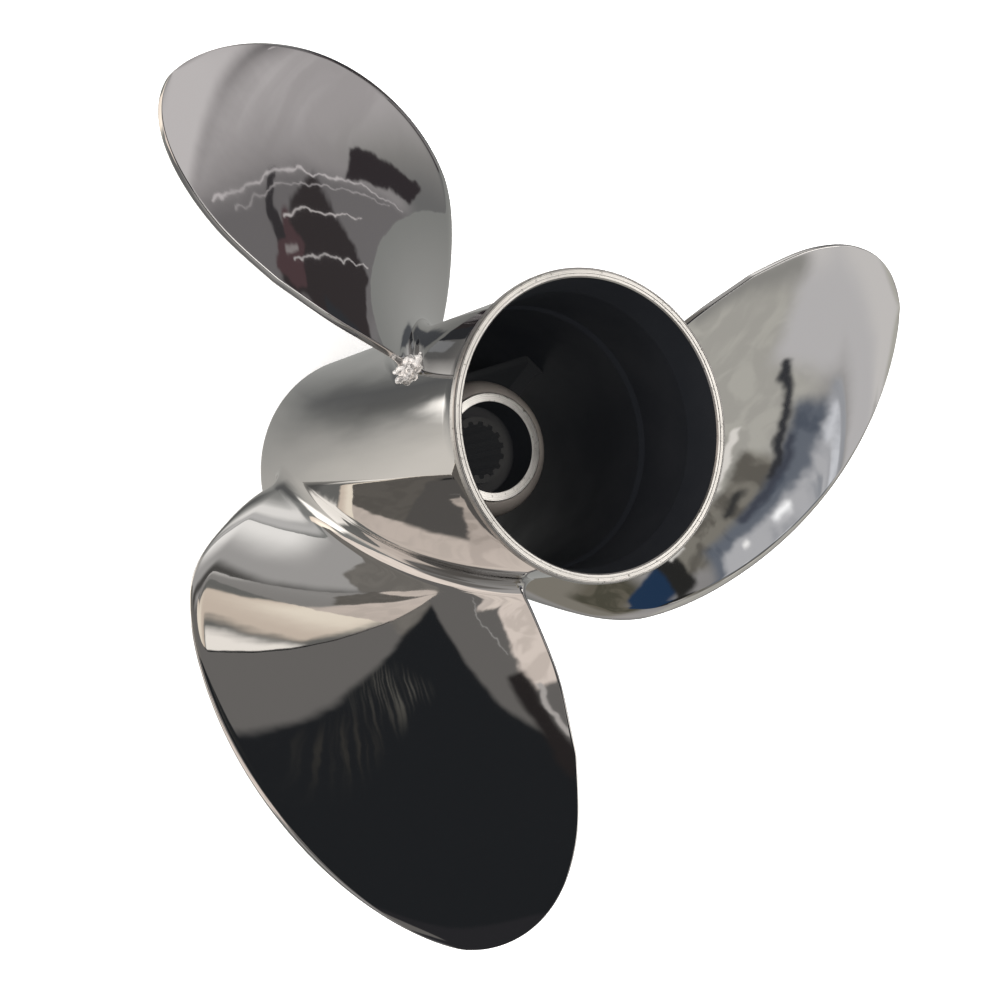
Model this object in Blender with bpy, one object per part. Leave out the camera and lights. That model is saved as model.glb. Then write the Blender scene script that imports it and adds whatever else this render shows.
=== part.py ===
"""Three-blade stainless propeller with a through-hub exhaust, for an outboard motor.

The shaft axis is Z and the exhaust mouth faces up. Heights are measured from the
barrel's front face, on which the propeller stands. The origin is the middle of the metal, on
the shaft axis.
"""

import math

import bmesh
import bpy
from mathutils import Vector

# Overall sizes, in metres
TIP_RADIUS = 0.1775
HUB_LENGTH = 0.178
BALANCE_HEIGHT = 0.0818
BLADE_COUNT = 3
CLEARANCE = 0.0003

# Barrel: a slim cone that widens towards the exhaust mouth
BARREL_FRONT_RADIUS = 0.0480
BARREL_TAPER = 0.0120
BARREL_WALL = 0.0030
NOSE_LENGTH = 0.0045
NOSE_DEPTH = 0.0014
RELIEF_LENGTH = 0.045
RELIEF_DEPTH = 0.0009

# Diffuser ring: the flange around the exhaust mouth
RING_LENGTH = 0.015
RING_LIP_RADIUS = 0.0537
RING_LIP_WIDTH = 0.0028
RING_MOUTH_RADIUS = 0.0502
RING_EDGE_ROUND = 0.0007
MOUTH_CHAMFER = 0.0005

# Inner hub: the tube that holds the rubber bush
INNER_HUB_RADIUS = 0.0256
INNER_HUB_WALL = 0.0050
INNER_HUB_FRONT = 0.008
INNER_HUB_BACK = 0.1065
NUT_SEAT_RADIUS = 0.0201
NUT_SEAT_BORE = 0.0167
NUT_SEAT_STEP = 0.0012
SHOULDER_LENGTH = 0.008
BACK_WALL = 0.014

# Ribs between the inner hub and the barrel
RIB_COUNT = 3
RIB_THICKNESS = 0.005
RIB_FRONT = 0.012
RIB_BACK = 0.088
RIB_ANGLE = math.radians(30)

# Rubber bush and the splined sleeve that it carries
BUSH_FRONT = 0.014
BUSH_BACK = 0.089
SLEEVE_RADIUS = 0.0124
SLEEVE_FRONT = 0.006
SLEEVE_BACK = 0.096
SPLINE_TEETH = 15
SPLINE_CORNERS = 4
SPLINE_ROOT_RADIUS = 0.0108
SPLINE_TIP_RADIUS = 0.0095

# Blade: a helical sheet with a raked, skewed outline
PITCH = 0.446
ROOT_HEIGHT = 0.1112
RAKE = math.radians(12.8)
TIP_EASE_RADIUS = 0.150
TIP_EASE = 0.0033
ROOT_RADIUS = 0.0485
WIDEST_RADIUS = 0.112
HALF_WIDTH = 0.067
ROOT_NARROWING = 0.48
ROOT_CURVE = 1.39
TIP_CURVE = 1.95
TIP_FULLNESS = 0.605
SKEW_STATIONS = ((0.0485, -30.7), (0.080, -23.8), (0.110, -19.0), (0.140, -10.7), (0.1775, 0.0))
TIP_ANGLE = 0.0

# Blade thickness
ROOT_THICKNESS = 0.0090
TIP_THICKNESS = 0.0030
EDGE_THICKNESS = 0.0024
NOSE_SHARE = 0.05
FILLET_RADIUS = 0.007

# How finely the round shapes are divided
BARREL_SEGMENTS = 96
HUB_SEGMENTS = 64
ARC_STEPS = 4
CHORD_STEPS = 20
SPAN_STEPS = 18
EDGE_STEPS = 4
TIP_CUT = 0.9995
EDGE_CROWDING = 0.4
SHARP_ANGLE = math.radians(35)
MERGE_DISTANCE = 0.000003


def clear_scene():
    """Remove every object that the new file came with."""
    for thing in list(bpy.data.objects):
        bpy.data.objects.remove(thing)


def finish(name, color, roughness, metallic):
    """Return a plain Principled material."""
    material = bpy.data.materials.new(name)
    material.use_nodes = True
    shader = material.node_tree.nodes["Principled BSDF"]
    shader.inputs["Base Color"].default_value = (*color, 1.0)
    shader.inputs["Roughness"].default_value = roughness
    shader.inputs["Metallic"].default_value = metallic
    return material


def polished_steel(name):
    """Return the mirror finish of the barrel and blades."""
    return finish(name, (0.62, 0.61, 0.60), 0.08, 1.0)


def cast_steel(name):
    """Return the duller finish inside the barrel."""
    return finish(name, (0.34, 0.34, 0.35), 0.35, 1.0)


def arc(center, radii, start, end, steps):
    """Return points along an elliptical arc, with its angles in degrees."""
    angles = [math.radians(start + (end - start) * i / steps) for i in range(steps + 1)]
    return [(center[0] + radii[0] * math.cos(a), center[1] + radii[1] * math.sin(a)) for a in angles]


def closed_mesh(name, builder):
    """Run a bmesh builder, turn its faces outwards and return the mesh."""
    shape = bmesh.new()
    builder(shape)
    bmesh.ops.recalc_face_normals(shape, faces=shape.faces)
    mesh = bpy.data.meshes.new(name)
    shape.to_mesh(mesh)
    shape.free()
    mesh.shade_smooth()
    mesh.set_sharp_from_angle(angle=SHARP_ANGLE)
    return mesh


def turned_mesh(name, profile, segments):
    """Revolve a closed (radius, height) profile around the shaft axis."""
    def builder(shape):
        points = [shape.verts.new((radius, 0.0, height)) for radius, height in profile]
        edges = [shape.edges.new(pair) for pair in zip(points, points[1:] + points[:1])]
        bmesh.ops.spin(shape, geom=points + edges, cent=(0, 0, 0), axis=(0, 0, 1),
                       angle=math.tau, steps=segments, use_duplicate=False)
        bmesh.ops.remove_doubles(shape, verts=shape.verts, dist=MERGE_DISTANCE)
    return closed_mesh(name, builder)


def place(name, mesh, material, axis, turn=0.0):
    """Hang one named piece on the shaft axis, turned around it."""
    piece = bpy.data.objects.new(name, mesh)
    piece.data.materials.append(material)
    piece.rotation_euler = (0.0, 0.0, turn)
    piece.parent = axis
    bpy.context.scene.collection.objects.link(piece)
    return piece


def barrel_radius(height):
    """Return the barrel's outer radius at a height, without its rounded nose."""
    return BARREL_FRONT_RADIUS + BARREL_TAPER * height


def barrel_inside(height):
    """Return the radius of the exhaust passage's outer wall at a height."""
    return barrel_radius(height) - BARREL_WALL


def ring_base():
    """Return the height of the diffuser ring's joint with the barrel."""
    return HUB_LENGTH - RING_LENGTH


def barrel_profile():
    """Return the section of the barrel's wall, from its back edge round to its front."""
    back = ring_base() - CLEARANCE
    relief = HUB_LENGTH - RELIEF_LENGTH
    nose_center = (barrel_radius(NOSE_LENGTH) - NOSE_DEPTH, NOSE_LENGTH)
    nose = arc(nose_center, (NOSE_DEPTH, NOSE_LENGTH), 0, -90, ARC_STEPS)
    inside = [
        (barrel_inside(0.0), 0.0),
        (barrel_inside(relief), relief),
        (barrel_inside(relief) + RELIEF_DEPTH, relief + RELIEF_DEPTH),
        (barrel_inside(back) + RELIEF_DEPTH, back),
    ]
    return [(barrel_radius(back), back)] + nose + inside


def ring_profile():
    """Return the section of the flange around the exhaust mouth."""
    base = ring_base()
    neck = barrel_radius(base)
    lip_base = HUB_LENGTH - RING_LIP_WIDTH
    fillet = arc((RING_LIP_RADIUS - RING_EDGE_ROUND, base),
                 (RING_LIP_RADIUS - RING_EDGE_ROUND - neck, lip_base - base), 90, 180, 2 * ARC_STEPS)
    edge_center = (RING_LIP_RADIUS - RING_EDGE_ROUND, HUB_LENGTH - RING_EDGE_ROUND)
    edge = arc(edge_center, (RING_EDGE_ROUND, RING_EDGE_ROUND), 90, 0, ARC_STEPS)
    inside = [
        (barrel_inside(base) + RELIEF_DEPTH, base),
        (RING_MOUTH_RADIUS, HUB_LENGTH - MOUTH_CHAMFER),
        (RING_MOUTH_RADIUS + MOUTH_CHAMFER, HUB_LENGTH),
    ]
    return edge + [(RING_LIP_RADIUS, lip_base)] + fillet + inside


def inner_hub_profile():
    """Return the section of the tube that holds the bush."""
    shoulder_top = INNER_HUB_BACK - NUT_SEAT_STEP
    shoulder = arc((NUT_SEAT_RADIUS, shoulder_top - SHOULDER_LENGTH),
                   (INNER_HUB_RADIUS - NUT_SEAT_RADIUS, SHOULDER_LENGTH), 90, 0, ARC_STEPS)
    bush_bore = INNER_HUB_RADIUS - INNER_HUB_WALL
    wall_front = INNER_HUB_BACK - BACK_WALL
    inside = [
        (INNER_HUB_RADIUS, INNER_HUB_FRONT),
        (bush_bore, INNER_HUB_FRONT),
        (bush_bore, wall_front),
        (NUT_SEAT_BORE, wall_front),
        (NUT_SEAT_BORE, INNER_HUB_BACK),
    ]
    return [(NUT_SEAT_RADIUS, INNER_HUB_BACK)] + shoulder + inside


def bush_profile():
    """Return the section of the rubber bush, inside the hub and around the sleeve."""
    outer = INNER_HUB_RADIUS - INNER_HUB_WALL - CLEARANCE
    inner = SLEEVE_RADIUS + CLEARANCE
    return [(outer, BUSH_BACK), (outer, BUSH_FRONT), (inner, BUSH_FRONT), (inner, BUSH_BACK)]


def sleeve_mesh(name):
    """Return the sleeve, whose bore has straight splines for the shaft."""
    def builder(shape):
        corners = SPLINE_CORNERS * SPLINE_TEETH
        pairs = []
        for i in range(corners):
            angle = math.tau * i / corners
            on_tooth = i % SPLINE_CORNERS < SPLINE_CORNERS // 2
            bore = SPLINE_TIP_RADIUS if on_tooth else SPLINE_ROOT_RADIUS
            direction = Vector((math.cos(angle), math.sin(angle), 0.0))
            pairs.append((direction * bore, direction * SLEEVE_RADIUS))
        levels = []
        for height in (SLEEVE_FRONT, SLEEVE_BACK):
            lift = Vector((0.0, 0.0, height))
            levels.append([[shape.verts.new(point + lift) for point in pair] for pair in pairs])
        front, back = levels
        for i in range(corners):
            j = (i + 1) % corners
            shape.faces.new((front[i][1], front[j][1], back[j][1], back[i][1]))
            shape.faces.new((front[j][0], front[i][0], back[i][0], back[j][0]))
            shape.faces.new((front[i][0], front[j][0], front[j][1], front[i][1]))
            shape.faces.new((back[j][0], back[i][0], back[i][1], back[j][1]))
    return closed_mesh(name, builder)


def rib_mesh(name):
    """Return one flat rib, which reaches from the inner hub to the barrel."""
    def builder(shape):
        half = RIB_THICKNESS / 2
        inner = INNER_HUB_RADIUS + CLEARANCE
        ends = []
        for height in (RIB_FRONT, RIB_BACK):
            outer = math.sqrt((barrel_inside(height) - CLEARANCE) ** 2 - half ** 2)
            corners = ((inner, -half), (outer, -half), (outer, half), (inner, half))
            ends.append([shape.verts.new((x, y, height)) for x, y in corners])
        front, back = ends
        shape.faces.new(front)
        shape.faces.new(back)
        for i in range(4):
            j = (i + 1) % 4
            shape.faces.new((front[i], front[j], back[j], back[i]))
    return closed_mesh(name, builder)


def through_stations(stations, at):
    """Return the value of a smooth curve through (position, value) stations."""
    places = [station[0] for station in stations]
    values = [station[1] for station in stations]
    rises = [(values[i + 1] - values[i]) / (places[i + 1] - places[i]) for i in range(len(places) - 1)]
    slopes = [rises[0]] + [(a + b) / 2 for a, b in zip(rises, rises[1:])] + [rises[-1]]
    last = len(rises) - 1
    i = max(k for k in range(last + 1) if k == 0 or places[k] <= at)
    length = places[i + 1] - places[i]
    t = (at - places[i]) / length
    start = (1 + 2 * t) * (1 - t) ** 2 * values[i] + t * (1 - t) ** 2 * length * slopes[i]
    end = t * t * (3 - 2 * t) * values[i + 1] - t * t * (1 - t) * length * slopes[i + 1]
    return start + end


def half_width(radius):
    """Return half the arc that the blade covers at a radius."""
    if radius < WIDEST_RADIUS:
        share = (WIDEST_RADIUS - radius) / (WIDEST_RADIUS - ROOT_RADIUS)
        return HALF_WIDTH * (1 - ROOT_NARROWING * share ** ROOT_CURVE)
    share = min((radius - WIDEST_RADIUS) / (TIP_RADIUS - WIDEST_RADIUS), 1.0)
    return HALF_WIDTH * (1 - share ** TIP_CURVE) ** TIP_FULLNESS


def tip_ease(radius):
    """Return how far into the eased tip a radius lies, from 0 at its start to 1 at the tip."""
    return max(0.0, (radius - TIP_EASE_RADIUS) / (TIP_RADIUS - TIP_EASE_RADIUS))


def middle_surface(radius, angle):
    """Return the point of the helical sheet at a radius and an angle from the tip."""
    rake = (radius - ROOT_RADIUS) * math.tan(RAKE) - TIP_EASE * tip_ease(radius) ** 2
    height = ROOT_HEIGHT + rake + PITCH * angle / math.tau
    return Vector((radius * math.cos(angle), radius * math.sin(angle), height))


def surface_normal(radius, angle):
    """Return the unit normal of the helical sheet, facing forward of the blade."""
    ease_slope = 2 * TIP_EASE * tip_ease(radius) / (TIP_RADIUS - TIP_EASE_RADIUS)
    around = Vector((-radius * math.sin(angle), radius * math.cos(angle), PITCH / math.tau))
    outwards = Vector((math.cos(angle), math.sin(angle), math.tan(RAKE) - ease_slope))
    return around.cross(outwards).normalized()


def half_thickness(radius, share):
    """Return half the blade's thickness, with share 0 at the leading edge and 1 at the trailing."""
    span = (radius - ROOT_RADIUS) / (TIP_RADIUS - ROOT_RADIUS)
    full = ROOT_THICKNESS + (TIP_THICKNESS - ROOT_THICKNESS) * span
    body = EDGE_THICKNESS + (full - EDGE_THICKNESS) * (4 * share * (1 - share))
    nose = min(share / NOSE_SHARE, 1.0)
    height = max(0.0, radius - ROOT_RADIUS) / FILLET_RADIUS
    fillet = FILLET_RADIUS * (1 - math.sqrt(1 - (1 - min(height, 1.0)) ** 2))
    return body / 2 * math.sqrt(1 - (1 - nose) ** 2) + fillet * math.sqrt(1 - (1 - nose) ** 2)


def span_radii():
    """Return the radii of the blade's sections, closer together at the root and tip."""
    fillet = [ROOT_RADIUS + FILLET_RADIUS * (i / ARC_STEPS) ** 2 for i in range(ARC_STEPS)]
    start = ROOT_RADIUS + FILLET_RADIUS
    reach = ROOT_RADIUS + (TIP_RADIUS - ROOT_RADIUS) * TIP_CUT - start
    outer = [start + reach * math.sin(math.pi / 2 * i / SPAN_STEPS) for i in range(SPAN_STEPS + 1)]
    return fillet + outer


def chord_shares():
    """Return places across the blade, closer together towards its two edges."""
    even = [i / CHORD_STEPS for i in range(CHORD_STEPS + 1)]
    return [EDGE_CROWDING * (1 - math.cos(math.pi * s)) / 2 + (1 - EDGE_CROWDING) * s for s in even]


def section_point(radius, share, side):
    """Return a point of a section: side runs from -1, the aft face, to 1, the forward face."""
    spread = half_width(radius) / radius
    angle = math.radians(through_stations(SKEW_STATIONS, radius)) + spread * (2 * share - 1)
    offset = surface_normal(radius, angle) * half_thickness(radius, share) * side
    return middle_surface(radius, angle) + offset


def on_barrel(point):
    """Return the point moved straight in or out until it clears the barrel."""
    outward = Vector((point.x, point.y, 0.0)).normalized()
    return outward * (barrel_radius(point.z) + CLEARANCE) + Vector((0.0, 0.0, point.z))


def blade_mesh(name):
    """Return the blade: sections from root to tip, closed by a foot that follows the barrel."""
    def builder(shape):
        shares = chord_shares()
        radii = span_radii()
        levels = [1 - 2 * k / EDGE_STEPS for k in range(1, EDGE_STEPS)]

        def corner(radius, share, side):
            spot = section_point(radius, share, side)
            return shape.verts.new(on_barrel(spot) if radius == radii[0] else spot)

        rings = []
        for radius in radii:
            front = [corner(radius, share, 1) for share in shares]
            edge = [corner(radius, shares[-1], level) for level in levels]
            back = [corner(radius, share, -1) for share in reversed(shares[1:])]
            rings.append(front + edge + back)
        for ring, outer in zip(rings, rings[1:]):
            for i in range(len(ring)):
                j = (i + 1) % len(ring)
                shape.faces.new((ring[i], ring[j], outer[j], outer[i]))

        foot, tip = rings[0], rings[-1]
        heel = foot[CHORD_STEPS:CHORD_STEPS + EDGE_STEPS + 1]
        middle = [[corner(radii[0], share, level) for share in shares[1:-1]] for level in levels]
        lines = [foot[1:CHORD_STEPS]] + middle + [foot[:CHORD_STEPS + EDGE_STEPS:-1]]
        for k, (line, other) in enumerate(zip(lines, lines[1:])):
            line, other = line + [heel[k]], other + [heel[k + 1]]
            shape.faces.new((foot[0], line[0], other[0]))
            for i in range(CHORD_STEPS - 1):
                shape.faces.new((line[i], line[i + 1], other[i + 1], other[i]))
        shape.faces.new((tip[0], tip[1], tip[-1]))
        for i in range(1, CHORD_STEPS - 1):
            shape.faces.new((tip[i], tip[i + 1], tip[-i - 1], tip[-i]))
        shape.faces.new(tip[CHORD_STEPS - 1:CHORD_STEPS + EDGE_STEPS + 2])
    return closed_mesh(name, builder)


def build():
    """Build every piece of the propeller."""
    clear_scene()
    axis = bpy.data.objects.new("shaft_axis", None)
    axis.location = (0.0, 0.0, -BALANCE_HEIGHT)
    bpy.context.scene.collection.objects.link(axis)
    place("barrel", turned_mesh("barrel", barrel_profile(), BARREL_SEGMENTS), polished_steel("barrel"), axis)
    place("diffuser_ring", turned_mesh("ring", ring_profile(), BARREL_SEGMENTS),
          polished_steel("diffuser_ring"), axis)
    place("inner_hub", turned_mesh("inner_hub", inner_hub_profile(), HUB_SEGMENTS),
          cast_steel("inner_hub"), axis)
    place("rubber_bush", turned_mesh("bush", bush_profile(), HUB_SEGMENTS),
          finish("rubber_bush", (0.02, 0.02, 0.02), 0.7, 0.0), axis)
    place("drive_sleeve", sleeve_mesh("sleeve"), finish("drive_sleeve", (0.20, 0.17, 0.13), 0.4, 1.0), axis)
    rib = rib_mesh("rib")
    for i in range(RIB_COUNT):
        name = f"rib_{i + 1}"
        place(name, rib.copy(), cast_steel(name), axis, RIB_ANGLE + math.tau * i / RIB_COUNT)
    blade = blade_mesh("blade")
    for i in range(BLADE_COUNT):
        name = f"blade_{i + 1}"
        place(name, blade.copy(), polished_steel(name), axis, TIP_ANGLE + math.tau * i / BLADE_COUNT)


build()
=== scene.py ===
"""Looks of a polished three-blade boat propeller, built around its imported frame.

Lengths are in metres. The shaft axis is Z and the exhaust mouth faces up. Heights are
measured from the barrel's front face, on which the propeller stands.
"""

import functools
import logging
import math
from dataclasses import dataclass
from enum import Enum
from typing import Any, Sequence

import bpy
import numpy as np
from bpy.types import Material, Mesh, Node, NodeSocket, NodeTree, Object
from mathutils import Matrix, Vector


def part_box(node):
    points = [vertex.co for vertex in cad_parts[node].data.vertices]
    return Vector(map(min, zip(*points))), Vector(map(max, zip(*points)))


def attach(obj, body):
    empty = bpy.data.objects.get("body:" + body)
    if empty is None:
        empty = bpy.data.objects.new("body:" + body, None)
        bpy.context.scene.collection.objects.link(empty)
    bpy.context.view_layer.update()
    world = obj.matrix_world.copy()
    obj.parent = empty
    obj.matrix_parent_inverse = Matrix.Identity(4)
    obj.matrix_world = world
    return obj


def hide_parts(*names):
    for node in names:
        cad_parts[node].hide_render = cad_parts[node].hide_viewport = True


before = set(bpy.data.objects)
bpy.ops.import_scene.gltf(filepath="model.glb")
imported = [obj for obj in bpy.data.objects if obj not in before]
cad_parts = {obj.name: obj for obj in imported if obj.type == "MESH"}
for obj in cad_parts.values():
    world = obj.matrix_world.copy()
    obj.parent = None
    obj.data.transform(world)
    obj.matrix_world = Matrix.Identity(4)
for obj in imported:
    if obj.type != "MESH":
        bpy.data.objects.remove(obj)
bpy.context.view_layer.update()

LOG = logging.getLogger("propeller")
BODY = "root"
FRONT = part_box("barrel")[0].z
HUB_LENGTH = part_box("diffuser_ring")[1].z - FRONT
BLADE_COUNT = 3
MERGE_DISTANCE = 0.000002
# The colour of the faint glows in the bore, which are painted light.
GLOW_COLOR = (0.95, 1.0, 1.08, 1.0)
ROUGHNESS_SWING = 0.2
DRIFT_SCALE = 60.0
DRIFT_SHARE = 0.4
SPECK_CONTRAST = 8.0
LONGEST_STRETCH = 0.006
WELD_GRAIN = 0.0003
WELD_DEPTH = 0.002
WELD_THRESHOLD = 0.1
Point = tuple[float, float]
Color = tuple[float, float, float]


class Slot(Enum):
    """The record's material slots."""

    POLISHED = "polished_steel"
    MACHINED = "machined_steel"
    CAST = "cast_steel"
    RUBBER = "bush_rubber"
    BRASS = "sleeve_brass"


class TreeKind(Enum):
    """The kinds of node group."""

    SHADER = "ShaderNodeTree"
    GEOMETRY = "GeometryNodeTree"


class Wiring:
    """Adds nodes to one tree and links them."""

    def __init__(self, tree: NodeTree) -> None:
        """Keep the tree that the nodes go into."""
        self.tree = tree

    def put(self, node: Node, inputs: dict[Any, Any]) -> None:
        """Link or set a node's inputs, given by name or number.

        Args:
            node: the node.
            inputs: values or sockets by the name or number of the input.
        """
        for key, value in inputs.items():
            if isinstance(value, NodeSocket):
                self.tree.links.new(value, node.inputs[key])
            else:
                node.inputs[key].default_value = value

    def node(self, kind: str, inputs: dict[Any, Any] | None = None, **settings: Any) -> Node:
        """Add a node.

        Args:
            kind: Blender's name for the node.
            inputs: values or sockets by the name or number of the input.
            settings: properties of the node.

        Returns:
            The new node.
        """
        made = self.tree.nodes.new(kind)
        for name, value in settings.items():
            setattr(made, name, value)
        self.put(made, inputs or {})
        return made

    def shade(self, kind: str, inputs: dict[Any, Any] | None = None, **settings: Any) -> NodeSocket:
        """Add a shader node, its kind given without the prefix, and return its first output."""
        return self.node("ShaderNode" + kind, inputs, **settings).outputs[0]

    def shape(self, kind: str, inputs: dict[Any, Any] | None = None, **settings: Any) -> NodeSocket:
        """Add a geometry node, its kind given without the prefix, and return its first output."""
        return self.node("GeometryNode" + kind, inputs, **settings).outputs[0]

    def math(self, operation: str, *values: Any, clamp: bool = False) -> NodeSocket:
        """Return the result of a Math node."""
        return self.shade("Math", dict(enumerate(values)), operation=operation, use_clamp=clamp)

    def vector(self, operation: str, *values: Any) -> NodeSocket:
        """Return the result of a Vector Math node, a number for a product or a length."""
        made = self.node("ShaderNodeVectorMath", dict(enumerate(values)), operation=operation)
        return made.outputs["Value" if operation in ("DOT_PRODUCT", "LENGTH") else "Vector"]

    def scaled(self, vector: NodeSocket, scale: NodeSocket) -> NodeSocket:
        """Return a vector times a number."""
        return self.shade("VectorMath", {0: vector, "Scale": scale}, operation="SCALE")

    def part(self, vector: NodeSocket, axis: str) -> NodeSocket:
        """Return one part of a vector: X, Y or Z."""
        return self.node("ShaderNodeSeparateXYZ", {0: vector}).outputs[axis]

    def place(self) -> NodeSocket:
        """Return the place on the object."""
        return self.node("ShaderNodeTexCoord").outputs["Object"]

    def noise(self, place: NodeSocket, scale: Any, **inputs: Any) -> NodeSocket:
        """Return a noise at a place, its other inputs given by name."""
        return self.shade("TexNoise", {"Vector": place, "Scale": scale, **inputs})

    def ramp(self, value: Any, low: Any, high: Any) -> NodeSocket:
        """Return 0 below low, 1 above high and a smooth rise between them."""
        inputs = {"Value": value, "From Min": low, "From Max": high}
        return self.shade("MapRange", inputs, interpolation_type="SMOOTHSTEP")

    def blend(self, factor: NodeSocket, first: Any, second: Any) -> NodeSocket:
        """Return the mix of two colours, each a socket or three numbers.

        Args:
            factor: the share of the second colour.
            first: the first colour.
            second: the second colour.

        Returns:
            The mixed colour.
        """
        made = self.node("ShaderNodeMix", data_type="RGBA")
        first, second = ((*tone, 1.0) if isinstance(tone, tuple) else tone for tone in (first, second))
        self.put(made, {0: factor, 6: first, 7: second})
        return made.outputs[2]

    def group(self, tree: NodeTree, inputs: dict[str, Any], label: str = "") -> Node:
        """Place a shader node group with its own values."""
        return self.node("ShaderNodeGroup", inputs, node_tree=tree, label=label)

    def ended(self, out: Node, outputs: dict[str, NodeSocket]) -> NodeTree:
        """Link a group's outputs and return its tree."""
        self.put(out, outputs)
        return self.tree


def new_group(name: str, kind: TreeKind, inputs: dict[str, Any],
              *outputs: str) -> tuple[Wiring, dict[str, NodeSocket], Node]:
    """Start a node group with named inputs and outputs.

    Args:
        name: the group's name.
        kind: the kind of group.
        inputs: each input's default number, or Geometry or Material for an input of that type.
        outputs: the names of the outputs, which are meshes or, in a shader group, numbers.

    Returns:
        The wiring, the input sockets by name and the output node.
    """
    tree = bpy.data.node_groups.new(name, kind.value)
    for label, value in inputs.items():
        plain = {float: "Float", int: "Int"}.get(type(value), value)
        socket = tree.interface.new_socket(label, in_out="INPUT", socket_type=f"NodeSocket{plain}")
        if plain != value:
            socket.default_value = value
    for label in outputs:
        plain = "Float" if kind is TreeKind.SHADER else "Geometry"
        tree.interface.new_socket(label, in_out="OUTPUT", socket_type=f"NodeSocket{plain}")
    wiring = Wiring(tree)
    entry = wiring.node("NodeGroupInput")
    given = {socket.name: socket for socket in entry.outputs if socket.name}
    return wiring, given, wiring.node("NodeGroupOutput")


# Shader node groups


class Effects:
    """Shader node groups that the finishes share, each built once."""

    @staticmethod
    @functools.cache
    def polish_waves() -> NodeTree:
        """Return the slight waviness of hand-polished steel, as a height in metres.

        Returns:
            The node group.
        """
        wiring, given, out = new_group("polish_waves", TreeKind.SHADER, {
            "Scale": 30.0, "Amount": 0.00003, "Ripple Scale": 110.0, "Ripple Amount": 0.000003}, "Height")
        place = wiring.place()
        heights = []
        for wave, detail in (("", 1.0), ("Ripple ", 2.0)):
            noise = wiring.noise(place, given[wave + "Scale"], Detail=detail, Roughness=0.4)
            heights.append(wiring.math("MULTIPLY", noise, given[wave + "Amount"]))
        return wiring.ended(out, {"Height": wiring.math("ADD", *heights)})

    @staticmethod
    @functools.cache
    def turning_marks() -> NodeTree:
        """Return fine rings around the shaft axis, as left by a lathe: a height and a shade.

        Returns:
            The node group.
        """
        wiring, given, out = new_group("turning_marks", TreeKind.SHADER, {
            "Lines": 5000.0, "Amount": 0.00001}, "Height", "Shade")
        place = wiring.place()
        flat = wiring.vector("MULTIPLY", place, (1.0, 1.0, 0.0))
        across = wiring.math("ADD", wiring.vector("LENGTH", flat), wiring.part(place, "Z"))
        line = wiring.shade("TexNoise", {"W": wiring.math("MULTIPLY", across, given["Lines"]),
                                         "Scale": 1.0, "Detail": 2.0}, noise_dimensions="1D")
        drift = wiring.noise(place, DRIFT_SCALE)
        return wiring.ended(out, {
            "Height": wiring.math("MULTIPLY", line, given["Amount"]),
            "Shade": wiring.math("MULTIPLY_ADD", drift, DRIFT_SHARE,
                                 wiring.math("MULTIPLY", line, 1 - DRIFT_SHARE))})

    @staticmethod
    @functools.cache
    def specks() -> NodeTree:
        """Return a mask of small scattered pits and grains.

        Returns:
            The node group.
        """
        wiring, given, out = new_group("specks", TreeKind.SHADER, {"Scale": 900.0, "Share": 0.3}, "Mask")
        grain = wiring.noise(wiring.place(), given["Scale"], Detail=3.0)
        above = wiring.math("SUBTRACT", grain, wiring.math("SUBTRACT", 1.0, given["Share"]))
        return wiring.ended(out, {"Mask": wiring.math("MULTIPLY", above, SPECK_CONTRAST, clamp=True)})

    @staticmethod
    @functools.cache
    def soft_box() -> NodeTree:
        """Return the mask of a rectangle with soft edges.

        Returns:
            The node group.
        """
        wiring, given, out = new_group("soft_box", TreeKind.SHADER, {
            "Across": 0.0, "Up": 0.0, "Half Width": 0.2, "Half Height": 0.2, "Softness": 0.02}, "Mask")
        masks = []
        for offset, half in (("Across", "Half Width"), ("Up", "Half Height")):
            low, high = (wiring.math(side, given[half], given["Softness"]) for side in ("SUBTRACT", "ADD"))
            beyond = wiring.ramp(wiring.math("ABSOLUTE", given[offset]), low, high)
            masks.append(wiring.math("SUBTRACT", 1.0, beyond))
        return wiring.ended(out, {"Mask": wiring.math("MULTIPLY", *masks)})


@dataclass(frozen=True)
class Finish:
    """What every finish has: a name, a colour and how it shines."""

    name: str
    color: Color
    roughness: float
    metallic: float = 1.0
    glow: float = 0.0

    def start(self) -> tuple[Material, Wiring, Node]:
        """Return a new material, its wiring and its Principled shader.

        Returns:
            The material, its wiring and its shader.
        """
        material = bpy.data.materials.new(self.name)
        material.use_nodes = True
        wiring = Wiring(material.node_tree)
        shader = material.node_tree.nodes["Principled BSDF"]
        wiring.put(shader, {"Base Color": (*self.color, 1.0), "Roughness": self.roughness,
                            "Metallic": self.metallic, "Emission Color": GLOW_COLOR,
                            "Emission Strength": self.glow})
        return material, wiring, shader

    def surface(self, wiring: Wiring) -> dict[str, NodeSocket]:
        """Return what the finish feeds to its shader: Height in metres, and inputs by name."""
        raise NotImplementedError

    def material(self) -> Material:
        """Return the finish as a material, its heights as a bump.

        Returns:
            The material.
        """
        material, wiring, shader = self.start()
        inputs = self.surface(wiring)
        height = inputs.pop("Height")
        bump = wiring.shade("Bump", {"Strength": 1.0, "Distance": 1.0, "Height": height})
        wiring.put(shader, {**inputs, "Normal": bump})
        return material

    def varied(self, wiring: Wiring, shade: NodeSocket) -> NodeSocket:
        """Return the roughness, swinging with a shade."""
        return wiring.math("MULTIPLY_ADD", shade, ROUGHNESS_SWING, self.roughness - ROUGHNESS_SWING / 2)

    def dulled(self, share: float) -> Color:
        """Return a share of the colour."""
        return tuple(share * c for c in self.color)


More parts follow.
